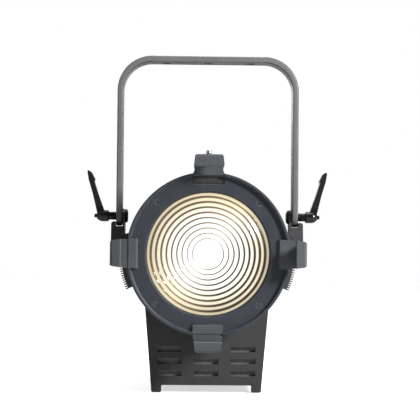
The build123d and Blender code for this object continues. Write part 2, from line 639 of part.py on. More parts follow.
# Lower housing: slotted front panel with two foot tabs, side walls and floor
PANEL_TOP_Z = AXIS_Z - 40
SLOT_W = 31.7
SLOT_H = 7.2
SLOT_PITCH_X = 46.6
SLOT_PITCH_Z = 15.25
SLOT_MID_Z = 39.3
WALL_FRONT_Y = PANEL_FRONT_Y + SHEET
WALL_REAR_Y = REAR_PANEL_Y - 3


def panel_outline(top_z):
    """Trapezoid with two foot tabs, from the floor up to top_z."""
    tab = FOOT_HALF_W - TAB_W
    top = half_width(top_z)
    return [(-FOOT_HALF_W, 0), (-tab, 0), (-tab, HOUSING_FLOOR_Z), (tab, HOUSING_FLOOR_Z),
            (tab, 0), (FOOT_HALF_W, 0), (top, top_z), (-top, top_z)]


def barrel_cutter(radius):
    """Sketch circle about the lens axis, in a plane that faces the front at z = 0."""
    with Locations((0, AXIS_Z)):
        Circle(radius, mode=Mode.SUBTRACT)


with BuildPart() as front_panel:
    with BuildSketch(facing(WALL_FRONT_Y, z=0)):
        with BuildLine():
            FilletPolyline(*panel_outline(PANEL_TOP_Z),
                           radius=(2, 2, 1.5, 1.5, 2, 2, 0, 0), close=True)
        make_face()
        barrel_cutter(BARREL_R + 0.3)
        with Locations((0, SLOT_MID_Z)):
            with GridLocations(SLOT_PITCH_X, SLOT_PITCH_Z, 3, 3):
                RectangleRounded(SLOT_W, SLOT_H, 1.2, mode=Mode.SUBTRACT)
    extrude(amount=SHEET)
save(front_panel.part, "front_panel")

# Light trap behind the slots: its holes lie between the slot rows
GRILLE_Y = WALL_FRONT_Y + 5
with BuildPart() as inner_grille:
    with BuildSketch(facing(GRILLE_Y + 1, z=0)):
        with Locations((0, SLOT_MID_Z)):
            Rectangle(134, 56)
        with Locations((0, SLOT_MID_Z)):
            with GridLocations(8, SLOT_PITCH_Z, 16, 2):
                SlotOverall(5, 2.4, mode=Mode.SUBTRACT)
    extrude(amount=1)
save(inner_grille.part, "inner_grille")

with BuildPart() as lower_housing:
    with BuildSketch(facing(WALL_REAR_Y, z=0)):
        with BuildLine():
            Polyline((-half_width(HOUSING_FLOOR_Z), HOUSING_FLOOR_Z),
                     (half_width(HOUSING_FLOOR_Z), HOUSING_FLOOR_Z),
                     (half_width(PANEL_TOP_Z), PANEL_TOP_Z),
                     (-half_width(PANEL_TOP_Z), PANEL_TOP_Z), close=True)
        make_face()
        with BuildLine():
            inner_z = HOUSING_FLOOR_Z + SHEET
            Polyline((-half_width(inner_z) + SHEET, inner_z),
                     (half_width(inner_z) - SHEET, inner_z),
                     (half_width(PANEL_TOP_Z) - SHEET, PANEL_TOP_Z + 1),
                     (-half_width(PANEL_TOP_Z) + SHEET, PANEL_TOP_Z + 1), close=True)
        make_face(mode=Mode.SUBTRACT)
        barrel_cutter(BARREL_R + 0.3)
    extrude(amount=WALL_REAR_Y - WALL_FRONT_Y)
    with BuildSketch(side_plane(-100)):
        with Locations((30, 58)):
            with GridLocations(12, 34, 10, 2):
                SlotOverall(26, 4, rotation=90)
    extrude(amount=200, mode=Mode.SUBTRACT)
    with BuildSketch(Plane.XY.offset(HOUSING_FLOOR_Z)):
        with Locations((0, 30)):
            with GridLocations(14, 60, 6, 2):
                SlotOverall(40, 5, rotation=90)
    extrude(amount=SHEET, mode=Mode.SUBTRACT)
save(lower_housing.part, "lower_housing")

with BuildPart() as power_supply:
    with BuildSketch(facing(78, z=0)):
        with Locations((0, 33)):
            Rectangle(108, 40)
    extrude(amount=128)
    fillet(edges().filter_by(Axis.Y), 2)
    with BuildSketch(Plane.XY.offset(13)):
        with Locations((-40, 62), (40, 62), (-40, -34), (40, -34)):
            Circle(4)
    extrude(amount=-2)
save(power_supply.part, "power_supply")

with BuildPart() as control_board:
    with BuildSketch(Plane.XY.offset(58)):
        with Locations((0, 18)):
            Rectangle(96, 88)
    extrude(amount=1.6)
    with BuildSketch(Plane.XY.offset(53)):
        with Locations((0, 18)):
            with GridLocations(86, 78, 2, 2):
                Circle(2.5)
    extrude(amount=5)
    with BuildSketch(Plane.XY.offset(59.6)):
        with Locations((-28, 0), (-28, 36), (2, -4)):
            Rectangle(16, 16)
        with Locations((30, 4), (30, 40)):
            Rectangle(12, 22)
    extrude(amount=4)
    with BuildSketch(Plane.XY.offset(59.6)):
        with Locations((2, 30), (2, 46), (-12, 52)):
            Circle(4)
    extrude(amount=9)
save(control_board.part, "control_board")

# Rear panel: round top over the barrel, trapezoid below with two foot tabs
FAN_OPEN_R = 43
FAN_SCREW_PITCH = 74
DISPLAY_X = 20
DISPLAY_Z = 105
DISPLAY_W = 58
DISPLAY_H = 20
BUTTON_X = -34
BUTTON_PITCH = 13
BUTTON_W = 8
SOCKET_Z = 51
SOCKET_W = 26
SOCKET_H = 31
FUSE_Z = 22
POWER_X = (51, 22)
SIGNAL_X = (-7, -36)
PIN_COUNT = 5
PANEL_INNER_Y = REAR_PANEL_Y - 3
with BuildPart() as rear_panel:
    with BuildSketch(facing(REAR_PANEL_Y, z=0)):
        with BuildLine():
            FilletPolyline(*panel_outline(PANEL_TOP_Z),
                           radius=(2, 2, 1.5, 1.5, 2, 2, 0, 0), close=True)
        make_face()
        with Locations((0, AXIS_Z)):
            Circle(BARREL_R)
            Circle(FAN_OPEN_R, mode=Mode.SUBTRACT)
            with GridLocations(FAN_SCREW_PITCH, FAN_SCREW_PITCH, 2, 2):
                Circle(2, mode=Mode.SUBTRACT)
        with Locations((DISPLAY_X, DISPLAY_Z)):
            Rectangle(DISPLAY_W - 4, DISPLAY_H - 4, mode=Mode.SUBTRACT)
        with Locations((BUTTON_X, DISPLAY_Z)):
            with GridLocations(BUTTON_PITCH, BUTTON_PITCH, 2, 2):
                Rectangle(BUTTON_W + 0.8, BUTTON_W + 0.8, mode=Mode.SUBTRACT)
        with Locations(*((x, SOCKET_Z) for x in POWER_X + SIGNAL_X)):
            Circle(11.6, mode=Mode.SUBTRACT)
        with Locations((0, FUSE_Z)):
            Circle(6.1, mode=Mode.SUBTRACT)
    extrude(amount=3)
save(rear_panel.part, "rear_panel")

with BuildPart() as panel_screws:
    with BuildSketch(facing(REAR_PANEL_Y + 1.8)):
        with GridLocations(FAN_SCREW_PITCH, FAN_SCREW_PITCH, 2, 2):
            Circle(3.2)
        with GridLocations(FAN_SCREW_PITCH, FAN_SCREW_PITCH, 2, 2):
            RegularPolygon(1.2, 6, mode=Mode.SUBTRACT)
    extrude(amount=1.8)
    with BuildSketch(facing(REAR_PANEL_Y)):
        with GridLocations(FAN_SCREW_PITCH, FAN_SCREW_PITCH, 2, 2):
            Circle(1.9)
    extrude(amount=16)
save(panel_screws.part, "panel_screws")

GUARD_FRONT = 2.6                # the guard stands this far off the panel
GUARD_WIRE = 1.8
with BuildPart() as fan_guard:
    for ring_r in (12, 20, 28, 36):
        with BuildSketch(facing(REAR_PANEL_Y + GUARD_FRONT)):
            Circle(ring_r)
            Circle(ring_r - GUARD_WIRE, mode=Mode.SUBTRACT)
        extrude(amount=GUARD_WIRE)
    with BuildSketch(facing(REAR_PANEL_Y + GUARD_FRONT)):
        Circle(46)
        Circle(FAN_OPEN_R + 0.4, mode=Mode.SUBTRACT)
    extrude(amount=GUARD_FRONT)
    with BuildSketch(facing(REAR_PANEL_Y + GUARD_FRONT)):
        with PolarLocations(27.5, 4, start_angle=45):
            Rectangle(35, GUARD_WIRE)
    extrude(amount=GUARD_WIRE)
save(fan_guard.part, "fan_guard")

# Fan: square frame with a hub carrier, and a rotor with seven twisted blades
FAN_W = 90
FAN_FRONT_Y = PANEL_INNER_Y - 25
FAN_BORE_R = 42.5
HUB_FAN_R = 18
with BuildPart() as fan_frame:
    with BuildSketch(facing(PANEL_INNER_Y)):
        RectangleRounded(FAN_W, FAN_W, 5)
        Circle(FAN_BORE_R, mode=Mode.SUBTRACT)
        with GridLocations(FAN_SCREW_PITCH, FAN_SCREW_PITCH, 2, 2):
            Circle(1.95, mode=Mode.SUBTRACT)
    extrude(amount=25)
    with BuildSketch(facing(PANEL_INNER_Y)):
        Circle(HUB_FAN_R)
        with PolarLocations(30.5, 4, start_angle=20):
            Rectangle(27, 4)
    extrude(amount=4)
    with BuildSketch(facing(PANEL_INNER_Y - 4)):
        Circle(2.5)
    extrude(amount=12)
save(fan_frame.part, "fan_frame")

with BuildPart() as fan_rotor:
    with BuildSketch(facing(PANEL_INNER_Y - 4.6)):
        Circle(HUB_FAN_R)
    extrude(amount=18)
    with BuildSketch(facing(PANEL_INNER_Y - 4)):
        Circle(2.55)
    extrude(amount=12.6, mode=Mode.SUBTRACT)
    for blade in range(7):
        turn = 360 / 7 * blade
        with BuildSketch(facing(PANEL_INNER_Y - 20.5, angle=turn)):
            with Locations((29, 0)):
                Rectangle(24, 2)
        with BuildSketch(facing(PANEL_INNER_Y - 6.5, angle=turn + 24)):
            with Locations((29, 0)):
                Rectangle(24, 2)
        loft()
    with BuildSketch(facing(PANEL_INNER_Y - 4)):
        Circle(60)
        Circle(41.3, mode=Mode.SUBTRACT)
    extrude(amount=24, mode=Mode.SUBTRACT)
save(fan_rotor.part, "fan_rotor")

# Display with its window, and the four menu buttons
with BuildPart() as display_window:
    with BuildSketch(facing(REAR_PANEL_Y + 1.5, z=0)):
        with Locations((DISPLAY_X, DISPLAY_Z)):
            RectangleRounded(DISPLAY_W, DISPLAY_H, 2)
    extrude(amount=1.5)
    with BuildSketch(facing(REAR_PANEL_Y, z=0)):
        with Locations((DISPLAY_X, DISPLAY_Z)):
            Rectangle(DISPLAY_W - 4.4, DISPLAY_H - 4.4)
    extrude(amount=6)
save(display_window.part, "display_window")

button_places = [(BUTTON_X + BUTTON_PITCH * i, DISPLAY_Z + BUTTON_PITCH * j)
                 for j in (0.5, -0.5) for i in (-0.5, 0.5)]
for number, (x, z) in enumerate(button_places, start=1):
    with BuildPart() as menu_button:
        with BuildSketch(facing(REAR_PANEL_Y + 2.5, z=0)):
            with Locations((x, z)):
                RectangleRounded(BUTTON_W, BUTTON_W, 1)
        extrude(amount=6)
        with BuildSketch(facing(PANEL_INNER_Y - 0.3, z=0)):
            with Locations((x, z)):
                Rectangle(BUTTON_W + 2, BUTTON_W + 2)
        extrude(amount=1.2)
        fillet(faces().sort_by(Axis.Y)[-1].edges(), 0.8)
    save(menu_button.part, f"menu_button_{number}")

# Sockets on the rear panel
for name, x in (("power_inlet", POWER_X[0]), ("power_outlet", POWER_X[1])):
    with BuildPart() as socket:
        with BuildSketch(facing(REAR_PANEL_Y + 2, z=0)):
            with Locations((x, SOCKET_Z)):
                RectangleRounded(SOCKET_W, SOCKET_H, 3)
        extrude(amount=2)
        with BuildSketch(facing(REAR_Y, z=0)):
            with Locations((x, SOCKET_Z)):
                Circle(11.4)
                Circle(9, mode=Mode.SUBTRACT)
        extrude(amount=REAR_Y - REAR_PANEL_Y)
        with BuildSketch(facing(REAR_Y - 1.5, z=0)):
            with Locations((x, SOCKET_Z)):
                Circle(6)
        extrude(amount=REAR_Y - 1.5 - REAR_PANEL_Y)
        with BuildSketch(facing(REAR_PANEL_Y, z=0)):
            with Locations((x, SOCKET_Z)):
                Circle(11.4)
        extrude(amount=20)
        with BuildSketch(facing(REAR_Y - 1.5, z=0)):
            with Locations((x, SOCKET_Z)):
                with PolarLocations(3.4, 3, start_angle=90):
                    Rectangle(1.2, 2.6)
        extrude(amount=6, mode=Mode.SUBTRACT)
    save(socket.part, name)

for name, x in (("signal_input", SIGNAL_X[0]), ("signal_output", SIGNAL_X[1])):
    with BuildPart() as socket:
        with BuildSketch(facing(REAR_PANEL_Y + 2, z=0)):
            with Locations((x, SOCKET_Z)):
                RectangleRounded(SOCKET_W, SOCKET_H, 3)
        extrude(amount=2)
        with BuildSketch(facing(REAR_PANEL_Y + 4, z=0)):
            with Locations((x, SOCKET_Z)):
                Circle(11)
                Circle(9.2, mode=Mode.SUBTRACT)
        extrude(amount=2)
        with BuildSketch(facing(REAR_PANEL_Y, z=0)):
            with Locations((x, SOCKET_Z)):
                Circle(11)
        extrude(amount=18)
        with BuildSketch(facing(REAR_PANEL_Y + 4, z=0)):
            with Locations((x, SOCKET_Z)):
                Circle(9.2)
        extrude(amount=12, mode=Mode.SUBTRACT)
        with BuildSketch(facing(REAR_PANEL_Y - 1, z=0)):
            with Locations((x, SOCKET_Z)):
                with PolarLocations(5, PIN_COUNT, start_angle=-135, angular_range=270):
                    Circle(1.1)
        extrude(amount=8)
    save(socket.part, name)

with BuildPart() as fuse_holder:
    with BuildSketch(facing(REAR_PANEL_Y + 2, z=0)):
        with Locations((0, FUSE_Z)):
            Circle(8)
    extrude(amount=2)
    with BuildSketch(facing(REAR_PANEL_Y + 7, z=0)):
        with Locations((0, FUSE_Z)):
            RegularPolygon(6.4, 12)
            Rectangle(7, 1.2, mode=Mode.SUBTRACT)
    extrude(amount=5)
    with BuildSketch(facing(REAR_PANEL_Y, z=0)):
        with Locations((0, FUSE_Z)):
            Circle(6)
    extrude(amount=26)
save(fuse_holder.part, "fuse_holder")

# Safety eye on top of the barrel, behind the yoke's rest position
EYE_Y = 112
EYE_BORE_R = 4
with BuildPart() as safety_eye:
    with BuildSketch(facing(EYE_Y + 2)):
        with Locations((0, BARREL_R + 8)):
            Circle(7)
        with Locations((0, BARREL_R + 3)):
            Rectangle(14, 10)
        Circle(BARREL_R + 0.02, mode=Mode.SUBTRACT)
        with Locations((0, BARREL_R + 8)):
            Circle(EYE_BORE_R, mode=Mode.SUBTRACT)
    extrude(amount=4)
    with BuildSketch(facing(EYE_Y + 9)):
        Circle(BARREL_R + 2)
        Circle(BARREL_R + 0.02, mode=Mode.SUBTRACT)
        with Locations((0, 50)):
            Rectangle(20, 200, mode=Mode.INTERSECT)
        with Locations((0, -100)):
            Rectangle(300, 200, mode=Mode.SUBTRACT)
    extrude(amount=18)
save(safety_eye.part, "safety_eye")

# Zoom drive: two bulkheads hold the rods, and a motor turns the lead screw
BULKHEAD_R = BARREL_R - BARREL_WALL - 0.2
BULKHEAD_THICK = 3
BUSH_R = 6
RUNNING = 0.05                   # radial clearance of sliding and turning fits
for name, y, opening_r in (("front_bulkhead", FRONT_BULKHEAD_Y, 62),
                           ("rear_bulkhead", REAR_BULKHEAD_Y, 50)):
    screw_hole_r = SCREW_R + RUNNING if y < 0 else 11
    with BuildPart() as bulkhead:
        with BuildSketch(facing(y + BULKHEAD_THICK)):
            Circle(BULKHEAD_R)
            Circle(opening_r, mode=Mode.SUBTRACT)
            with Locations((-ROD_X, 0), (ROD_X, 0)):
                Circle(ROD_R, mode=Mode.SUBTRACT)
            with Locations((0, SCREW_Z - AXIS_Z)):
                Circle(screw_hole_r, mode=Mode.SUBTRACT)
        extrude(amount=BULKHEAD_THICK)
    save(bulkhead.part, name)

with BuildPart() as guide_rods:
    with BuildSketch(facing(REAR_BULKHEAD_Y + BULKHEAD_THICK)):
        with Locations((-ROD_X, 0), (ROD_X, 0)):
            Circle(ROD_R)
    extrude(amount=REAR_BULKHEAD_Y + BULKHEAD_THICK - FRONT_BULKHEAD_Y)
save(guide_rods.part, "guide_rods")

MOTOR_Y = REAR_BULKHEAD_Y + BULKHEAD_THICK
with BuildPart() as zoom_motor:
    with BuildSketch(facing(MOTOR_Y + 24)):
        with Locations((0, SCREW_Z - AXIS_Z)):
            RectangleRounded(35, 35, 3)
    extrude(amount=24)
    with BuildSketch(facing(MOTOR_Y)):
        with Locations((0, SCREW_Z - AXIS_Z)):
            Circle(10.9)
    extrude(amount=2)
save(zoom_motor.part, "zoom_motor")

with BuildPart() as lead_screw:
    with BuildSketch(facing(MOTOR_Y - 2.1)):
        with Locations((0, SCREW_Z - AXIS_Z)):
            Circle(SCREW_R)
    extrude(amount=MOTOR_Y - 2.1 - FRONT_BULKHEAD_Y + 4)
    with BuildSketch(facing(MOTOR_Y - 4)):
        with Locations((0, SCREW_Z - AXIS_Z)):
            Circle(5.5)
    extrude(amount=10)
save(lead_screw.part, "lead_screw")

CARRIAGE_BACK_Y = CARRIAGE_Y + CARRIAGE_THICK
with BuildPart() as zoom_carriage:
    with BuildSketch(facing(CARRIAGE_BACK_Y)):
        RectangleRounded(168, 34, 8)
        Circle(48)
        with Locations((0, -50)):
            RectangleRounded(32, 70, 6)
        with Locations((-ROD_X, 0), (ROD_X, 0), (0, SCREW_Z - AXIS_Z)):
            Circle(BUSH_R, mode=Mode.SUBTRACT)
    extrude(amount=CARRIAGE_THICK)
save(zoom_carriage.part, "zoom_carriage")

with BuildPart() as guide_bushings:
    with BuildSketch(facing(CARRIAGE_BACK_Y + 9)):
        with Locations((-ROD_X, 0), (ROD_X, 0)):
            Circle(BUSH_R)
            Circle(ROD_R + RUNNING, mode=Mode.SUBTRACT)
    extrude(amount=22)
    with BuildSketch(facing(CARRIAGE_BACK_Y + 2)):
        with Locations((-ROD_X, 0), (ROD_X, 0)):
            Circle(9)
            Circle(BUSH_R, mode=Mode.SUBTRACT)
    extrude(amount=2)
save(guide_bushings.part, "guide_bushings")

with BuildPart() as screw_nut:
    with BuildSketch(facing(CARRIAGE_BACK_Y + 5)):
        with Locations((0, SCREW_Z - AXIS_Z)):
            Circle(BUSH_R)
            Circle(SCREW_R + RUNNING, mode=Mode.SUBTRACT)
    extrude(amount=15)
    with BuildSketch(facing(CARRIAGE_BACK_Y + 3)):
        with Locations((0, SCREW_Z - AXIS_Z)):
            Circle(10)
            Circle(BUSH_R, mode=Mode.SUBTRACT)
            with PolarLocations(8, 3, start_angle=30):
                Circle(1.2, mode=Mode.SUBTRACT)
    extrude(amount=3)
save(screw_nut.part, "screw_nut")

# Light engine on the carriage: heat sink behind, LED board and reflector in front
FIN_COUNT = 13
with BuildPart() as heat_sink:
    with BuildSketch(facing(CARRIAGE_BACK_Y + 6)):
        Rectangle(92, 70)
    extrude(amount=6)
    with BuildSketch(facing(CARRIAGE_BACK_Y + 46)):
        with GridLocations(7.4, 1, FIN_COUNT, 1):
            Rectangle(2, 70)
    extrude(amount=40)
save(heat_sink.part, "heat_sink")

BOARD_THICK = 1.6
with BuildPart() as led_board:
    with BuildSketch(facing(CARRIAGE_Y)):
        RectangleRounded(42, 42, 2)
        with GridLocations(35, 35, 2, 2):
            Circle(1.7, mode=Mode.SUBTRACT)
    extrude(amount=BOARD_THICK)
save(led_board.part, "led_board")

with BuildPart() as led_emitter:
    with BuildSketch(facing(CARRIAGE_Y - BOARD_THICK)):
        Circle(13)
    extrude(amount=1.4)
    fillet(faces().sort_by(Axis.Y)[0].edges(), 0.8)
save(led_emitter.part, "led_emitter")

REFLECTOR_LENGTH = 34
with BuildPart() as reflector:
    with BuildSketch(radial_plane(90)):
        with BuildLine():
            foot = Polyline((17.5, CARRIAGE_Y - BOARD_THICK), (14, CARRIAGE_Y - BOARD_THICK))
            inside = ThreePointArc(foot @ 1, (24, CARRIAGE_Y - 16),
                                   (30, CARRIAGE_Y - REFLECTOR_LENGTH))
            lip = Line(inside @ 1, (32, CARRIAGE_Y - REFLECTOR_LENGTH))
            ThreePointArc(lip @ 1, (26.2, CARRIAGE_Y - 16), foot @ 0)
        make_face()
    revolve(axis=LENS_AXIS)
save(reflector.part, "reflector")
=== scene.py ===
"""Looks of the fresnel spotlight: camera, studio light, procedural materials and fine detail.

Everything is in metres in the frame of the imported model. The lens faces -Y and Z is up.
"""
import json
import math

import bmesh
import bpy
from mathutils import Matrix, Vector


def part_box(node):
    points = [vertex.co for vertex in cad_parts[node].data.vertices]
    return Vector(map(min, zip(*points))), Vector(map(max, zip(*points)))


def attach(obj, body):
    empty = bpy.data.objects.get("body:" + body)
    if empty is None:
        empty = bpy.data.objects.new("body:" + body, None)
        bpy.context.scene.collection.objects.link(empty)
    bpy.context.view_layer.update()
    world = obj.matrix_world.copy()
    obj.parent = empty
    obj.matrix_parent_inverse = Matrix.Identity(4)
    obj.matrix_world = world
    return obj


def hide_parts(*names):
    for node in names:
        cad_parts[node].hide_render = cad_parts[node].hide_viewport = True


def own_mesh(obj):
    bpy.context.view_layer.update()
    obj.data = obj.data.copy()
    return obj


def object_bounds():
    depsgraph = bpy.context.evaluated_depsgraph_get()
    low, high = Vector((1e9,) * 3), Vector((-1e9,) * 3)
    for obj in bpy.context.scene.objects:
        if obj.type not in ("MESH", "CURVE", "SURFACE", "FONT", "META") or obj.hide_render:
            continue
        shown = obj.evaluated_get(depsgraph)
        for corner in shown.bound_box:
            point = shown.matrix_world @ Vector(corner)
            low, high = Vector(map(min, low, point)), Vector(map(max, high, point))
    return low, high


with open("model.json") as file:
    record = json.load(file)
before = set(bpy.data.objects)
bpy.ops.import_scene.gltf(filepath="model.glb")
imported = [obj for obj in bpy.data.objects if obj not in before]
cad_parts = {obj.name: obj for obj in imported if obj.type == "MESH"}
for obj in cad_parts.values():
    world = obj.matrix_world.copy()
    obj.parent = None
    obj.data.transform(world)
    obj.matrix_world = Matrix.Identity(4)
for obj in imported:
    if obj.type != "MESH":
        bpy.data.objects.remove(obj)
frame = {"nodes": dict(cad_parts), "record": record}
cad_low, cad_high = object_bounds()
NODES = frame["nodes"]

# Places read from the frame
MM = 0.001
lens_low, lens_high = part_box("fresnel_lens")
AXIS_Z = (lens_low.z + lens_high.z) / 2
RING_FRONT_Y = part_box("front_ring")[0].y

# Camera: level with the lens axis, this far in front of the ring
CAMERA_DISTANCE = 1.5
CAMERA_X = -0.030
AIM_X = 0.0017
AIM_ABOVE_AXIS = 0.0537
CAMERA_LENS = 105.3              # millimetres, on a sensor SENSOR_W wide
SENSOR_W = 36
CAMERA_ROLL = math.radians(0.5)

# Studio: strengths of the world and floor, and the four lights
WORLD_FRONT = 0.03               # world brightness from the camera's side
WORLD_BEHIND = 0.75              # and from behind the subject
WORLD_SWEEP = 0.5                # half width of the change between them, as a direction's Y
FLOOR_HALF = 6.0
FLOOR_GAP = 0.5 * MM             # between the feet and the floor
FLOOR_GLOW = 0.22                # light that the floor sends up to the subject
FLOOR_SEEN_GLOW = 0.62           # and to the camera
FLOOR_GREY = (0.30, 0.30, 0.30)
WHITE = (1.0, 1.0, 1.0)
LIGHTS = (                       # name, place, width and height, watts, colour
    ("key_light", (1.30, -1.10, 0.95), (0.36, 0.40), 54, WHITE),
    ("fill_light", (-1.7, -1.4, 0.6), (0.4, 1.4), 2.0, (0.93, 0.96, 1.0)),
    ("top_light", (0.3, 0.1, 2.0), (1.2, 0.8), 16, WHITE),
    ("rear_light", (-0.9, 1.9, 1.1), (1.2, 1.2), 18, WHITE),
)

# Wear and unevenness of coats and metals, and the painted highlight along metal edges
COAT_EDGE_R = 1.1 * MM           # reach of the worn edge
# reach of the painted highlight along metal edges
METAL_HIGHLIGHT_R = 0.6 * MM
WORN_COLOUR = (0.30, 0.30, 0.31)
COAT_VARY = 0.12
METAL_STAIN = 0.18
METAL_MARK_DEPTH = 0.02 * MM

# Radii of the lens pattern: a smooth core, then one groove per step
CORE_R = 19.2 * MM
STEP_PITCH = 6.4 * MM
CLEAR_R = 75 * MM
RIM_BAND_R = 72.6 * MM           # the outermost step is a plain bright band
FLUTES = 200

# Display window: ticks across its width, and the lit part as shares of width and height
DISPLAY_TICKS = 24
DISPLAY_SPAN = (0.36, 0.86)
DISPLAY_BAR = (0.40, 0.62)

# Latch spring
SPRING_WIRE_R = 0.4 * MM
SPRING_TURNS = 7
SPRING_STEPS = 28                # points on the path in each turn

# Button screws on the lower housing, whose side walls lean out with height, and on the barrel
HOUSING_SLOPE = 0.0848
HOUSING_SCREW_R = 3.0 * MM
BARREL_SCREW_R = 2.8 * MM
SCREW_HEAD_H = 1.5 * MM
SCREW_SIDES = 24
BARREL_SCREW_DEGREES = (32, 64, 116, 148)

# Notch of the front ring under the latch, and the dark sheet of painted shade in it (radii from
# the lens axis)
NOTCH_DEPTH = 7 * MM
SHADE_SHEET_HALF_W = 19.2 * MM
SHADE_SHEET_LOW_R = 87 * MM
SHADE_SHEET_HIGH_R = 94.6 * MM
SHADE_SHEET_LAYERS = ((0, 0.05 * MM), (0, 0.5 * MM), (0.3 * MM, 0.8 * MM))    # inset, height

# Rounded edges of the CAD nodes; fine or thin ones get less, and some get none
EDGE_ROUND = 0.5 * MM
FINE_EDGE_ROUND = 0.2 * MM
EDGE_ANGLE = math.radians(40)
WELD_DISTANCE = 0.002 * MM
FINE_NODES = {"front_panel", "rear_panel", "inner_grille", "lower_housing", "fan_guard",
              "ring_screws", "bracket_screws", "clip_screws", "panel_screws", "safety_eye",
              "latch_screw", "lever_screw_left", "lever_screw_right", "heat_sink", "led_board",
              "power_inlet", "power_outlet", "signal_input", "signal_output", "fuse_holder",
              "side_cover_left", "side_cover_right", "zoom_carriage", "friction_washers",
              "front_bulkhead", "rear_bulkhead", "lens_retainer", "top_latch", "barrel"}
ROUNDED_NODES = {"yoke": 1.1 * MM, "clamp_lever_left": 0.9 * MM, "clamp_lever_right": 0.9 * MM,
                 "tilt_bracket_left": 1.0 * MM, "tilt_bracket_right": 1.0 * MM}
PLAIN_NODES = {"fresnel_lens", "latch_spring", "lens_gasket", "guide_rods", "lead_screw",
               "fan_rotor", "reflector", "led_emitter"}


def make_camera():
    """Long-lens camera level with the lens, turned a little up and to the right."""
    data = bpy.data.cameras.new("studio_camera")
    data.lens = CAMERA_LENS
    data.sensor_width = SENSOR_W
    camera = bpy.data.objects.new("studio_camera", data)
    bpy.context.scene.collection.objects.link(camera)
    place = Vector((CAMERA_X, RING_FRONT_Y - CAMERA_DISTANCE, AXIS_Z))
    aim = Vector((AIM_X, RING_FRONT_Y, AXIS_Z + AIM_ABOVE_AXIS))
    turn = (aim - place).to_track_quat("-Z", "Y").to_matrix().to_4x4()
    camera.matrix_world = Matrix.Translation(place) @ turn @ Matrix.Rotation(CAMERA_ROLL, 4, "Z")
    bpy.context.scene.camera = camera


def make_light(name, place, size, power, colour):
    """Soft rectangular studio light that points at the lens axis."""
    data = bpy.data.lights.new(name, "AREA")
    data.shape = "RECTANGLE"
    data.size = size[0]
    data.size_y = size[1]
    data.energy = power
    data.color = colour
    light = bpy.data.objects.new(name, data)
    bpy.context.scene.collection.objects.link(light)
    light.location = place
    aim = Vector((0, 0, AXIS_Z)) - Vector(place)
    light.rotation_euler = aim.to_track_quat("-Z", "Y").to_euler()


def make_world():
    """White all round to the camera, but lit mostly from behind and above the subject."""
    world = bpy.data.worlds.new("studio_world")
    world.use_nodes = True
    tree = world.node_tree
    background = tree.nodes["Background"]
    direction = tree.nodes.new("ShaderNodeTexCoord").outputs["Generated"]
    split = tree.nodes.new("ShaderNodeSeparateXYZ")
    tree.links.new(direction, split.inputs[0])
    sweep = tree.nodes.new("ShaderNodeMapRange")
    tree.links.new(split.outputs["Y"], sweep.inputs["Value"])
    sweep.inputs["From Min"].default_value = -WORLD_SWEEP
    sweep.inputs["From Max"].default_value = WORLD_SWEEP
    sweep.inputs["To Min"].default_value = WORLD_FRONT
    sweep.inputs["To Max"].default_value = WORLD_BEHIND
    path = tree.nodes.new("ShaderNodeLightPath")
    seen = tree.nodes.new("ShaderNodeMath")
    seen.operation = "MAXIMUM"
    tree.links.new(path.outputs["Is Camera Ray"], seen.inputs[0])
    tree.links.new(sweep.outputs[0], seen.inputs[1])
    tree.links.new(seen.outputs[0], background.inputs["Strength"])
    background.inputs["Color"].default_value = (1, 1, 1, 1)
    bpy.context.scene.world = world
    bpy.context.scene.view_settings.view_transform = "Standard"


def make_studio():
    """White world, white floor and four soft lights."""
    make_world()
    mesh = bpy.data.meshes.new("studio_floor")
    corners = ((-1, -1), (1, -1), (1, 1), (-1, 1))
    mesh.from_pydata([(FLOOR_HALF * x, FLOOR_HALF * y, 0) for x, y in corners],
                     [], [(0, 1, 2, 3)])
    floor = bpy.data.objects.new("studio_floor", mesh)
    bpy.context.scene.collection.objects.link(floor)
    floor.location.z = cad_low.z - FLOOR_GAP
    mesh.materials.append(floor_material())
    for light in LIGHTS:
        make_light(*light)


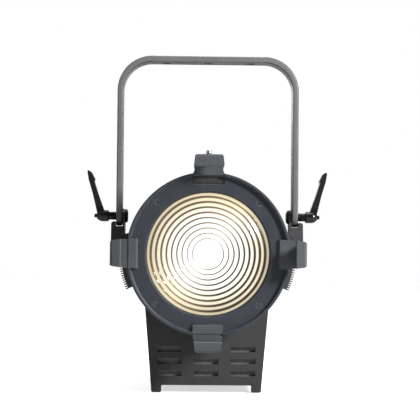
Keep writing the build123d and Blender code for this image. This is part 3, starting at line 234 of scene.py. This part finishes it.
class Graph:
    """A node material under construction, around one Principled shader."""

    def __init__(self, name):
        self.material = bpy.data.materials.new(name)
        self.material.use_nodes = True
        self.tree = self.material.node_tree
        self.shader = self.tree.nodes["Principled BSDF"]

    def node(self, kind, settings=None, **inputs):
        """Add a node, set its properties, and set or link its inputs by name, or by i0, i1."""
        made = self.tree.nodes.new(kind)
        for key, value in (settings or {}).items():
            setattr(made, key, value)
        for key, value in inputs.items():
            numbered = key[0] == "i" and key[1:].isdigit()
            self.feed(made.inputs[int(key[1:]) if numbered else key.replace("_", " ")], value)
        return made

    def feed(self, socket, value):
        """Link value to a socket if it is a socket, otherwise set it."""
        if isinstance(value, bpy.types.NodeSocket):
            self.tree.links.new(value, socket)
        else:
            socket.default_value = value

    def set(self, **inputs):
        """Set or link inputs of the Principled shader."""
        for key, value in inputs.items():
            self.feed(self.shader.inputs[key.replace("_", " ")], value)

    def math(self, operation, a, b=0.0, clamp=False):
        """One math node; a and b are numbers or sockets."""
        return self.node("ShaderNodeMath", {"operation": operation, "use_clamp": clamp},
                         i0=a, i1=b).outputs[0]

    def coords(self, stretch=(1, 1, 1)):
        """Object coordinates in metres, stretched per axis."""
        source = self.node("ShaderNodeTexCoord").outputs["Object"]
        if stretch == (1, 1, 1):
            return source
        return self.node("ShaderNodeMapping", Vector=source, Scale=stretch).outputs[0]

    def noise(self, scale, detail=3.0, roughness=0.5, stretch=(1, 1, 1)):
        """Noise with about scale features per metre."""
        return self.node("ShaderNodeTexNoise", Vector=self.coords(stretch), Scale=scale,
                         Detail=detail, Roughness=roughness).outputs["Fac"]

    def spread(self, value, low, high, to_low, to_high):
        """Map a range to another, clamped."""
        return self.node("ShaderNodeMapRange", Value=value, From_Min=low, From_Max=high,
                         To_Min=to_low, To_Max=to_high).outputs[0]

    def between(self, value, low, high):
        """One where value lies between low and high, otherwise zero."""
        return self.math("MULTIPLY", self.math("GREATER_THAN", value, low),
                         self.math("LESS_THAN", value, high))

    def mix(self, factor, a, b):
        """Mix two colours."""
        made = self.node("ShaderNodeMix", {"data_type": "RGBA"})
        self.feed(made.inputs["Factor"], factor)
        self.feed(made.inputs[6], a)
        self.feed(made.inputs[7], b)
        return made.outputs[2]

    def edges(self, radius):
        """Mask of worn edges: one where the surface turns within radius."""
        rounded = self.node("ShaderNodeBevel", {"samples": 6}, Radius=radius).outputs[0]
        normal = self.node("ShaderNodeNewGeometry").outputs["Normal"]
        dot = self.node("ShaderNodeVectorMath", {"operation": "DOT_PRODUCT"},
                        i0=rounded, i1=normal).outputs["Value"]
        return self.spread(dot, 0.995, 0.80, 0.0, 1.0)

    def bump(self, height, distance, strength, below=None):
        """Bump in metres, on top of another normal if one is given."""
        made = self.node("ShaderNodeBump", Height=height, Distance=distance, Strength=strength)
        if below is not None:
            self.feed(made.inputs["Normal"], below)
        return made.outputs[0]


def rgba(colour, gain=1.0):
    """An opaque colour, scaled."""
    return (colour[0] * gain, colour[1] * gain, colour[2] * gain, 1.0)


def floor_material():
    """Matt white paper that lights the subject only a little from below."""
    graph = Graph("studio_paper")
    seen = graph.node("ShaderNodeLightPath").outputs["Is Camera Ray"]
    tone = graph.spread(graph.noise(6.0), 0.3, 0.7, 0.93, 0.95)
    paper = graph.mix(tone, rgba((0, 0, 0)), rgba(WHITE))
    graph.set(Base_Color=graph.mix(seen, rgba(FLOOR_GREY), paper),
              Roughness=0.95, Specular_IOR_Level=0.1, Emission_Color=rgba(WHITE),
              Emission_Strength=graph.spread(seen, 0.0, 1.0, FLOOR_GLOW, FLOOR_SEEN_GLOW))
    return graph.material


def coat(name, colour, grain, depth, rough, wear):
    """Powder coat, paint or moulded plastic: grain bump, uneven tone and lighter worn edges."""
    graph = Graph(name)
    cloud = graph.spread(graph.noise(14.0, 4.0, 0.6), 0.3, 0.7, 0.0, 1.0)
    speck = graph.noise(grain * 1.7, 2.0)
    tone = graph.mix(cloud, rgba(colour, 1 - COAT_VARY), rgba(colour, 1 + COAT_VARY))
    tone = graph.mix(graph.spread(speck, 0.35, 0.75, 0.0, 0.35), tone, rgba(colour, 1.5))
    scuffs = graph.spread(graph.noise(120.0, 5.0, 0.7), 0.42, 0.62, 0.0, 1.0)
    worn = graph.math("MULTIPLY", graph.edges(COAT_EDGE_R), graph.math("MULTIPLY", scuffs, wear))
    tone = graph.mix(worn, tone, rgba(WORN_COLOUR))
    smudge = graph.spread(graph.noise(32.0, 5.0, 0.65), 0.35, 0.7, rough - 0.07, rough + 0.08)
    height = graph.node("ShaderNodeTexVoronoi", {"feature": "SMOOTH_F1"}, Vector=graph.coords(),
                        Scale=grain).outputs["Distance"]
    graph.set(Base_Color=tone, Roughness=smudge,
              Normal=graph.bump(height, depth, 0.8, graph.bump(speck, depth, 0.4)))
    return graph.material


def bare_metal(name, colour, rough, brush):
    """Machined or drawn metal with fine tool marks, faint stains and a painted highlight along
    its edges.
    """
    graph = Graph(name)
    marks = graph.noise(2200.0, 3.0, 0.6, brush)
    stains = graph.spread(graph.noise(60.0, 5.0, 0.6), 0.35, 0.7, 0.0, 1.0)
    tone = graph.mix(stains, rgba(colour, 1 - METAL_STAIN), rgba(colour))
    # Painted highlight: the metal is a little lighter along every edge
    edge_highlight = graph.math("MULTIPLY", graph.edges(METAL_HIGHLIGHT_R), 0.5)
    tone = graph.mix(edge_highlight, tone, rgba(colour, 1.15))
    graph.set(Base_Color=tone, Metallic=1.0,
              Roughness=graph.spread(marks, 0.3, 0.7, rough - 0.08, rough + 0.1),
              Normal=graph.bump(marks, METAL_MARK_DEPTH, 0.5))
    return graph.material


def glare_shade(graph, x, z, radius):
    """How far a point lies from the diagonal glare; it is most at the lower right."""
    across = graph.math("DIVIDE", graph.math("SUBTRACT", graph.math("MULTIPLY", x, 0.8),
                                             graph.math("MULTIPLY", z, 0.6)), radius)
    away = graph.math("ABSOLUTE", across)
    return graph.math("MAXIMUM", graph.spread(away, 0.05, 0.9, 0.0, 0.72),
                      graph.spread(across, 0.0, 0.75, 0.0, 1.0))


def painted_groove_shade(graph, radius, reach, shade):
    """Mask of painted shade in the grooves between steps, which widen and deepen outwards and in
    the shade.
    """
    steps = graph.math("DIVIDE", graph.math("SUBTRACT", radius, CORE_R), STEP_PITCH)
    share = graph.math("FRACT", graph.math("ADD", steps, 0.5))
    near = graph.math("ABSOLUTE", graph.math("SUBTRACT", share, 0.5))
    width = graph.math("ADD", graph.spread(reach, 0.22, 1.0, 0.14, 0.27),
                       graph.math("MULTIPLY", graph.spread(reach, 0.3, 1.0, 0.0, 0.14), shade))
    line = graph.node("ShaderNodeMapRange", {"interpolation_type": "SMOOTHSTEP"}, Value=near,
                      From_Min=width, From_Max=graph.math("MULTIPLY", width, 0.2),
                      To_Min=0.0, To_Max=1.0).outputs[0]
    line = graph.math("MULTIPLY", line, graph.between(radius, CORE_R - 2 * MM, RIM_BAND_R))
    deep = graph.math("ADD", graph.spread(reach, 0.22, 0.95, 0.50, 0.92),
                      graph.math("MULTIPLY", shade, 0.45))
    return graph.math("MULTIPLY", line, deep, clamp=True)


def lens_glow(graph, reach):
    """Colour of the lit glass, from white at the core to cream at the rim."""
    glow = graph.node("ShaderNodeValToRGB", Fac=reach)
    stops = glow.color_ramp.elements
    stops[0].position, stops[0].color = 0.0, (1.0, 1.0, 0.97, 1)
    stops[1].position, stops[1].color = 1.0, (0.92, 0.80, 0.52, 1)
    for place, colour in ((0.55, (1.0, 0.98, 0.90, 1)), (0.75, (0.97, 0.90, 0.70, 1)),
                          (0.90, (0.90, 0.80, 0.54, 1))):
        stops.new(place).color = colour
    return glow.outputs["Color"]


def lens_material():
    """Stepped glass with a painted glow in place of the lamp's light through it: white core,
    cream outer steps, brown grooves of painted shade that widen outwards.
    """
    graph = Graph("lit_lens_glass")
    split = graph.node("ShaderNodeSeparateXYZ", Vector=graph.coords())
    x = split.outputs["X"]
    z = graph.math("SUBTRACT", split.outputs["Z"], AXIS_Z)
    radius = graph.math("SQRT", graph.math("ADD", graph.math("MULTIPLY", x, x),
                                           graph.math("MULTIPLY", z, z)))
    reach = graph.math("DIVIDE", radius, CLEAR_R)
    shade = glare_shade(graph, x, z, radius)
    groove_shade = painted_groove_shade(graph, radius, reach, shade)

    # Fine radial flutes in the outer steps, painted as ripples in the glow
    flute = graph.math("SINE", graph.math("MULTIPLY", graph.math("ARCTAN2", z, x), FLUTES))
    flute = graph.math("MULTIPLY", flute, graph.spread(reach, 0.55, 0.85, 0.0, 0.22))
    flute = graph.math("MULTIPLY", flute, graph.spread(shade, 0.2, 0.9, 0.15, 1.0))

    # Brightness of the painted glow falls outwards and in the shade, and is even across the
    # grooves
    level = graph.math("SUBTRACT", graph.spread(reach, 0.2, 0.95, 1.25, 0.95),
                       graph.math("MULTIPLY", shade, graph.spread(reach, 0.6, 1.0, 0.0, 0.34)))
    level = graph.math("MULTIPLY", level, graph.math("ADD", 1.0, flute))
    grain = graph.spread(graph.noise(420.0, 4.0), 0.3, 0.7, 0.93, 1.04)
    level = graph.math("MULTIPLY", level, grain)
    level = graph.math("SUBTRACT", level, graph.math("MULTIPLY", groove_shade,
                       graph.math("SUBTRACT", level, 0.7)))

    # Grooves: painted shade, both in the glow's colour and in the glass's base colour
    brown = graph.mix(shade, rgba((0.34, 0.22, 0.11)), rgba((0.035, 0.022, 0.015)))
    graph.set(Base_Color=graph.mix(groove_shade, rgba((0.22, 0.20, 0.17)), rgba((0.03, 0.025, 0.02))),
              Roughness=graph.spread(graph.noise(90.0), 0.3, 0.7, 0.14, 0.24),
              IOR=1.47, Coat_Weight=0.5, Coat_Roughness=0.16,
              Emission_Color=graph.mix(groove_shade, lens_glow(graph, reach), brown),
              Emission_Strength=level)
    return graph.material


def board_material(name, mask_colour, trace_gain):
    """Circuit board: solder mask with copper tracks showing through and pale pads."""
    graph = Graph(name)
    brick = graph.node("ShaderNodeTexBrick", Vector=graph.coords(), Scale=140.0,
                       Mortar_Size=0.06, Color1=rgba(mask_colour), Color2=rgba(mask_colour, 0.8),
                       Mortar=rgba(mask_colour, trace_gain))
    dust = graph.spread(graph.noise(70.0, 4.0), 0.4, 0.7, 0.0, 0.25)
    graph.set(Base_Color=graph.mix(dust, brick.outputs["Color"], rgba((0.2, 0.2, 0.18))),
              Roughness=graph.spread(graph.noise(300.0), 0.3, 0.7, 0.28, 0.42),
              Normal=graph.bump(brick.outputs["Fac"], 0.00003, 0.6))
    return graph.material


def display_material():
    """Dark polished window with a dim blue level bar and ticks behind it."""
    graph = Graph("display_glass")
    low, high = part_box("display_window")
    split = graph.node("ShaderNodeSeparateXYZ", Vector=graph.coords())
    u = graph.spread(split.outputs["X"], low.x, high.x, 0.0, 1.0)
    v = graph.spread(split.outputs["Z"], low.z, high.z, 0.0, 1.0)
    tick = graph.math("FRACT", graph.math("MULTIPLY", u, DISPLAY_TICKS))
    ticks = graph.math("LESS_THAN", tick, 0.45)
    bar = graph.between(v, *DISPLAY_BAR)
    span = graph.between(u, *DISPLAY_SPAN)
    rear = graph.math("GREATER_THAN", split.outputs["Y"], high.y - 0.4 * MM)
    lit = graph.math("MULTIPLY", graph.math("MULTIPLY", ticks, bar),
                     graph.math("MULTIPLY", span, rear))
    haze = graph.spread(graph.noise(50.0, 4.0), 0.3, 0.7, 0.04, 0.12)
    graph.set(Base_Color=graph.mix(lit, rgba((0.012, 0.014, 0.02)), rgba((0.1, 0.3, 0.6))),
              Roughness=haze, Coat_Weight=0.5, Coat_Roughness=0.04,
              Emission_Color=rgba((0.25, 0.6, 1.0)),
              Emission_Strength=graph.math("MULTIPLY", lit, 1.2))
    return graph.material


def phosphor_material():
    """Yellow phosphor under clear silicone, glowing softly."""
    graph = Graph("phosphor")
    grain = graph.noise(2500.0, 3.0)
    graph.set(Base_Color=graph.mix(grain, rgba((0.9, 0.68, 0.12)), rgba((1.0, 0.86, 0.34))),
              Roughness=graph.spread(grain, 0.3, 0.7, 0.25, 0.4), Coat_Weight=0.7,
              Coat_Roughness=0.08, Emission_Color=rgba((1.0, 0.93, 0.75)), Emission_Strength=3.0,
              Normal=graph.bump(grain, 0.00005, 0.5))
    return graph.material


# Looks of the record's material slots
COATS = {                        # colour, grains per metre, grain depth, roughness, edge wear
    "ring_coat": ((0.029, 0.032, 0.043), 1500, 0.04 * MM, 0.46, 0.6),
    "body_coat": ((0.046, 0.046, 0.049), 1300, 0.05 * MM, 0.40, 0.45),
    "sheet_coat": ((0.034, 0.034, 0.036), 1300, 0.05 * MM, 0.46, 0.45),
    "clip_coat": ((0.070, 0.074, 0.082), 1800, 0.03 * MM, 0.38, 0.4),
    "yoke_coat": ((0.135, 0.135, 0.138), 1500, 0.04 * MM, 0.36, 0.55),
    "lever_plastic": ((0.009, 0.009, 0.010), 2000, 0.03 * MM, 0.24, 0.25),
    "seal_rubber": ((0.02, 0.02, 0.02), 800, 0.06 * MM, 0.7, 0.05),
    "fan_plastic": ((0.022, 0.022, 0.024), 1600, 0.03 * MM, 0.42, 0.15),
    "socket_plastic": ((0.025, 0.025, 0.028), 1800, 0.03 * MM, 0.38, 0.2),
    "inlet_blue": ((0.03, 0.09, 0.33), 1800, 0.03 * MM, 0.36, 0.2),
    "outlet_grey": ((0.34, 0.35, 0.37), 1800, 0.03 * MM, 0.36, 0.2),
    "button_grey": ((0.10, 0.10, 0.11), 1600, 0.04 * MM, 0.55, 0.1),
    "motor_coat": ((0.03, 0.03, 0.032), 1400, 0.04 * MM, 0.4, 0.3),
    "grille_grey": ((0.17, 0.17, 0.175), 1300, 0.05 * MM, 0.5, 0.3),
}
METALS = {                       # colour, roughness, and the tool marks' stretch per axis
    "black_steel": ((0.035, 0.035, 0.038), 0.34, (1, 1, 1)),
    "bright_steel": ((0.78, 0.79, 0.81), 0.36, (1, 1, 1)),
    "spring_steel": ((0.55, 0.56, 0.58), 0.24, (1, 1, 1)),
    "bare_aluminium": ((0.68, 0.69, 0.71), 0.34, (1, 0.05, 1)),
    "mirror_aluminium": ((0.86, 0.87, 0.88), 0.12, (1, 1, 1)),
    "brass": ((0.72, 0.55, 0.24), 0.28, (1, 1, 1)),
    "case_zinc": ((0.55, 0.56, 0.57), 0.38, (1, 1, 1)),
}
BOARDS = {                       # solder mask colour, and how much paler the tracks are
    "board_green": ((0.02, 0.16, 0.06), 2.4),
    "board_white": ((0.78, 0.78, 0.75), 0.85),
}
SPECIAL = {"lens_glass": lens_material, "phosphor": phosphor_material,
           "display_glass": display_material}


def make_look(slot):
    """The material of one slot."""
    if slot in COATS:
        return coat(slot, *COATS[slot])
    if slot in METALS:
        return bare_metal(slot, *METALS[slot])
    if slot in BOARDS:
        return board_material(slot, *BOARDS[slot])
    return SPECIAL[slot]()


def dress_nodes():
    """Give each CAD node its material, and small rounded edges by modifier.

    Returns the materials by slot.
    """
    looks = {}
    for subpart in frame["record"]["subparts"]:
        node = NODES[subpart["node"]]
        slot = subpart["material_slot"]
        if slot not in looks:
            looks[slot] = make_look(slot)
        node.data.materials.clear()
        node.data.materials.append(looks[slot])
        weld = node.modifiers.new("weld", "WELD")
        weld.merge_threshold = WELD_DISTANCE
        if subpart["node"] not in PLAIN_NODES:
            bevel = node.modifiers.new("edge_round", "BEVEL")
            usual = FINE_EDGE_ROUND if subpart["node"] in FINE_NODES else EDGE_ROUND
            bevel.width = ROUNDED_NODES.get(subpart["node"], usual)
            bevel.segments = 2
            bevel.limit_method = "ANGLE"
            bevel.angle_limit = EDGE_ANGLE
        smooth = node.modifiers.new("smooth_normals", "WEIGHTED_NORMAL")
        smooth.keep_sharp = True
    return looks


def finish_piece(mesh, name, slot, smooth=True):
    """Link a piece made in code, ride it on the head, and give it the material of its slot."""
    piece = bpy.data.objects.new(name, mesh)
    bpy.context.scene.collection.objects.link(piece)
    mesh.materials.clear()
    mesh.materials.append(looks[slot])
    for polygon in mesh.polygons:
        polygon.use_smooth = smooth
    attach(piece, "head")
    return piece


def coil_spring():
    """The latch spring as a real coil."""
    low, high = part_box("latch_spring")
    path = bpy.data.curves.new("latch_spring_path", "CURVE")
    path.dimensions = "3D"
    path.bevel_depth = SPRING_WIRE_R
    path.bevel_resolution = 3
    path.use_fill_caps = True
    coil = path.splines.new("POLY")
    count = SPRING_TURNS * SPRING_STEPS
    coil.points.add(count)
    radius = (high.x - low.x) / 2 - SPRING_WIRE_R
    bottom, top = low.z + SPRING_WIRE_R, high.z - SPRING_WIRE_R
    middle = (low + high) / 2
    for step in range(count + 1):
        share = step / count
        climb = share - 0.5 * math.sin(2 * math.pi * share) / (2 * math.pi)
        angle = 2 * math.pi * SPRING_TURNS * share
        coil.points[step].co = (middle.x + radius * math.cos(angle),
                                middle.y + radius * math.sin(angle),
                                bottom + (top - bottom) * climb, 1)
    source = bpy.data.objects.new("latch_spring_path", path)
    mesh = bpy.data.meshes.new_from_object(source)
    bpy.data.objects.remove(source)
    spring = finish_piece(mesh, "latch_spring_coil", "spring_steel")
    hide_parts("latch_spring")
    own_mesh(spring)


def skin(shape, loops):
    """Faces between the loops of a bmesh, one after another, and a cap on each end."""
    for lower, upper in zip(loops, loops[1:]):
        for index in range(len(lower)):
            after = (index + 1) % len(lower)
            shape.faces.new((lower[index], lower[after], upper[after], upper[index]))
    shape.faces.new(loops[-1])
    shape.faces.new(reversed(loops[0]))


def screw_rings(head_r):
    """Rings (radius, height, hexagonal) of a button head with a hexagon socket."""
    rings = [(head_r, 0.0, False), (head_r, 0.25 * SCREW_HEAD_H, False)]
    for part in range(1, 6):
        turn = math.radians(75 * part / 5)
        rings.append((head_r * (0.45 + 0.55 * math.cos(turn)),
                      SCREW_HEAD_H * (0.25 + 0.75 * math.sin(turn)), False))
    socket_r = 0.42 * head_r
    return rings + [(socket_r, SCREW_HEAD_H, True),
                    (socket_r * 0.97, 0.45 * SCREW_HEAD_H, True),
                    (0.05 * head_r, 0.35 * SCREW_HEAD_H, False)]


def button_screws(name, places, head_r):
    """One piece with a button head at each (place, outward direction)."""
    mesh = bpy.data.meshes.new(name)
    shape = bmesh.new()
    for place, outward in places:
        turn = Vector(outward).to_track_quat("Z", "Y")
        loops = []
        for radius, height, hexed in screw_rings(head_r):
            loop = []
            for side in range(SCREW_SIDES):
                angle = 2 * math.pi * side / SCREW_SIDES
                inset = math.cos(math.pi / 6) / math.cos(angle % (math.pi / 3) - math.pi / 6)
                reach = radius * inset if hexed else radius
                local = Vector((reach * math.cos(angle), reach * math.sin(angle), height))
                loop.append(shape.verts.new(Vector(place) + turn @ local))
            loops.append(loop)
        skin(shape, loops)
    shape.to_mesh(mesh)
    shape.free()
    finish_piece(mesh, name, "black_steel")


def housing_screws():
    """Screws that hold the lower housing's side walls."""
    low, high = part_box("lower_housing")
    lean = Vector((1, 0, -HOUSING_SLOPE)).normalized()
    places = []
    for side in (-1, 1):
        for y in (low.y + 70 * MM, high.y - 7 * MM):
            for z in (low.z + 9 * MM, low.z + 82 * MM):
                half = high.x - HOUSING_SLOPE * (high.z - z)
                places.append(((side * half, y, z), (side * lean.x, 0, lean.z)))
    button_screws("housing_side_screws", places, HOUSING_SCREW_R)


def barrel_screws():
    """Screws round the upper half of the barrel, near its two ends."""
    low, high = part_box("barrel")
    radius = (high.x - low.x) / 2
    places = []
    for y in (low.y + 24 * MM, high.y - 5 * MM):
        for degrees in BARREL_SCREW_DEGREES:
            outward = (math.cos(math.radians(degrees)), 0, math.sin(math.radians(degrees)))
            places.append(((radius * outward[0], y, AXIS_Z + radius * outward[2]), outward))
    button_screws("barrel_screws", places, BARREL_SCREW_R)


def latch_shade_sheet():
    """Dark sheet on the floor of the ring's notch, below the latch's foot: painted shade, in the
    seal rubber's look.
    """
    floor_y = RING_FRONT_Y + NOTCH_DEPTH
    outline = [(-1, 0.12), (-0.96, 0), (0.96, 0), (1, 0.12), (1, 1), (-1, 1)]
    mesh = bpy.data.meshes.new("latch_shade_sheet")
    shape = bmesh.new()
    loops = []
    for inset, height in SHADE_SHEET_LAYERS:
        low_z = AXIS_Z + SHADE_SHEET_LOW_R + inset
        rise = SHADE_SHEET_HIGH_R - SHADE_SHEET_LOW_R - 2 * inset
        loops.append([shape.verts.new((x * (SHADE_SHEET_HALF_W - inset), floor_y - height,
                                       low_z + z * rise)) for x, z in outline])
    skin(shape, loops)
    bmesh.ops.recalc_face_normals(shape, faces=shape.faces)
    shape.to_mesh(mesh)
    shape.free()
    # The dark sheet is painted shade under the latch's foot
    finish_piece(mesh, "latch_shade_sheet", "seal_rubber", smooth=False)


make_camera()
make_studio()
looks = dress_nodes()
coil_spring()
housing_screws()
barrel_screws()
latch_shade_sheet()
